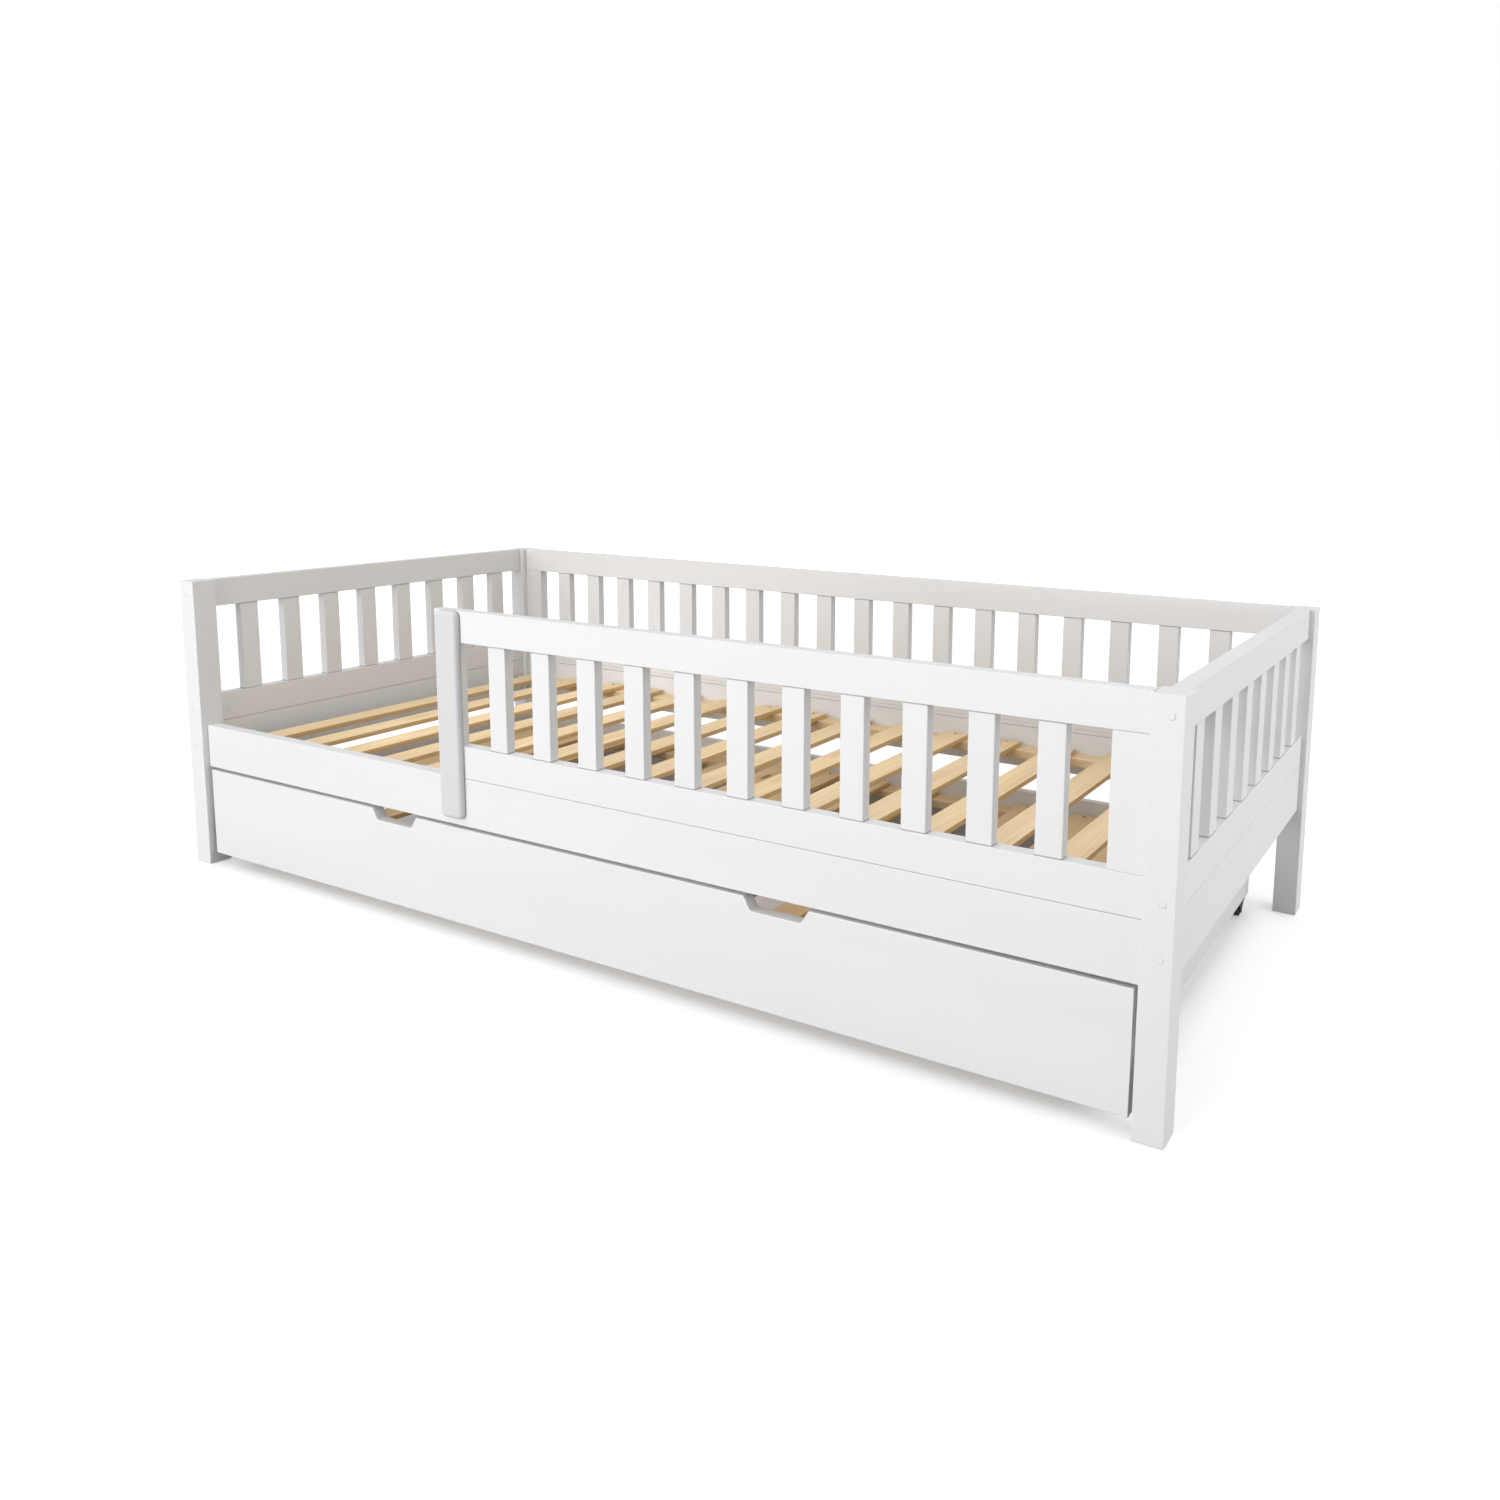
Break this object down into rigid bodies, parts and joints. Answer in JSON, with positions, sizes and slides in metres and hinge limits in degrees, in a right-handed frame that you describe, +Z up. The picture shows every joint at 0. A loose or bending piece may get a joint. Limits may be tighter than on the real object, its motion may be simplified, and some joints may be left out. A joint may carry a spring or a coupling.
{
  "type": "toddler bed",
  "caption": "White wooden child's bed with slatted ends, back and fall guard, a pine slat base, and a guest-bed trundle with hand holes and fixed castors.",
  "frame": {"origin": "on the floor, at the middle of the bed's plan", "axes": "+Z up, +X along the bed towards the guarded end, -Y out of the open front, the way the trundle pulls"},
  "size_m": [2.08, 0.97, 0.602],
  "materials": {
    "white_paint": "satin white lacquer on pine",
    "pine": "planed, untreated",
    "castor_plastic": "black moulded",
    "wheel_tread": "black moulded, satin tread"
  },
  "bodies": {
    "bed_frame": {"post_front_left": "white_paint", "post_front_right": "white_paint", "post_back_left": "white_paint", "post_back_right": "white_paint", "side_rail_front": "white_paint", "guard_panel": "white_paint", "guard_post": "white_paint", "back_board": "white_paint", "back_panel": "white_paint", "end_board_left": "white_paint", "end_board_right": "white_paint", "end_panel_left": "white_paint", "end_panel_right": "white_paint", "ledger_front": "pine", "ledger_back": "pine", "base_slat_01": "pine", "base_slat_02": "pine", "base_slat_03": "pine", "base_slat_04": "pine", "base_slat_05": "pine", "base_slat_06": "pine", "base_slat_07": "pine", "base_slat_08": "pine", "base_slat_09": "pine", "base_slat_10": "pine", "base_slat_11": "pine", "base_slat_12": "pine", "base_slat_13": "pine", "base_slat_14": "pine", "base_slat_15": "pine", "base_slat_16": "pine"},
    "trundle": {"trundle_front": "white_paint", "trundle_back": "white_paint", "trundle_end_left": "white_paint", "trundle_end_right": "white_paint", "trundle_ledger_front": "pine", "trundle_ledger_back": "pine", "trundle_slat_01": "pine", "trundle_slat_02": "pine", "trundle_slat_03": "pine", "trundle_slat_04": "pine", "trundle_slat_05": "pine", "trundle_slat_06": "pine", "trundle_slat_07": "pine", "trundle_slat_08": "pine", "trundle_slat_09": "pine", "trundle_slat_10": "pine", "trundle_slat_11": "pine", "trundle_slat_12": "pine", "trundle_slat_13": "pine", "trundle_slat_14": "pine", "trundle_slat_15": "pine", "castor_housing_front_left": "castor_plastic", "castor_housing_front_right": "castor_plastic", "castor_housing_back_left": "castor_plastic", "castor_housing_back_right": "castor_plastic"},
    "wheel_front_left": {"castor_wheel_front_left": "wheel_tread"},
    "wheel_front_right": {"castor_wheel_front_right": "wheel_tread"},
    "wheel_back_left": {"castor_wheel_back_left": "wheel_tread"},
    "wheel_back_right": {"castor_wheel_back_right": "wheel_tread"}
  },
  "joints": [
    {"name": "trundle_pull", "type": "slide", "parent": "bed_frame", "child": "trundle", "axis": [0, -1, 0], "range_m": [0, 0.85]},
    {"name": "castor_spin_front_left", "type": "hinge", "parent": "trundle", "child": "wheel_front_left", "pos_m": [-0.941, -0.3997, 0.0125], "axis": [1, 0, 0], "range_deg": [-10, 4000]},
    {"name": "castor_spin_front_right", "type": "hinge", "parent": "trundle", "child": "wheel_front_right", "pos_m": [0.941, -0.3997, 0.0125], "axis": [1, 0, 0], "range_deg": [-10, 4000]},
    {"name": "castor_spin_back_left", "type": "hinge", "parent": "trundle", "child": "wheel_back_left", "pos_m": [-0.941, 0.378, 0.0125], "axis": [1, 0, 0], "range_deg": [-10, 4000]},
    {"name": "castor_spin_back_right", "type": "hinge", "parent": "trundle", "child": "wheel_back_right", "pos_m": [0.941, 0.378, 0.0125], "axis": [1, 0, 0], "range_deg": [-10, 4000]}
  ],
  "couplings": [
    {"joint": "castor_spin_front_left", "follows": "trundle_pull", "rad_per_m": 80},
    {"joint": "castor_spin_front_right", "follows": "trundle_pull", "rad_per_m": 80},
    {"joint": "castor_spin_back_left", "follows": "trundle_pull", "rad_per_m": 80},
    {"joint": "castor_spin_back_right", "follows": "trundle_pull", "rad_per_m": 80}
  ]
}
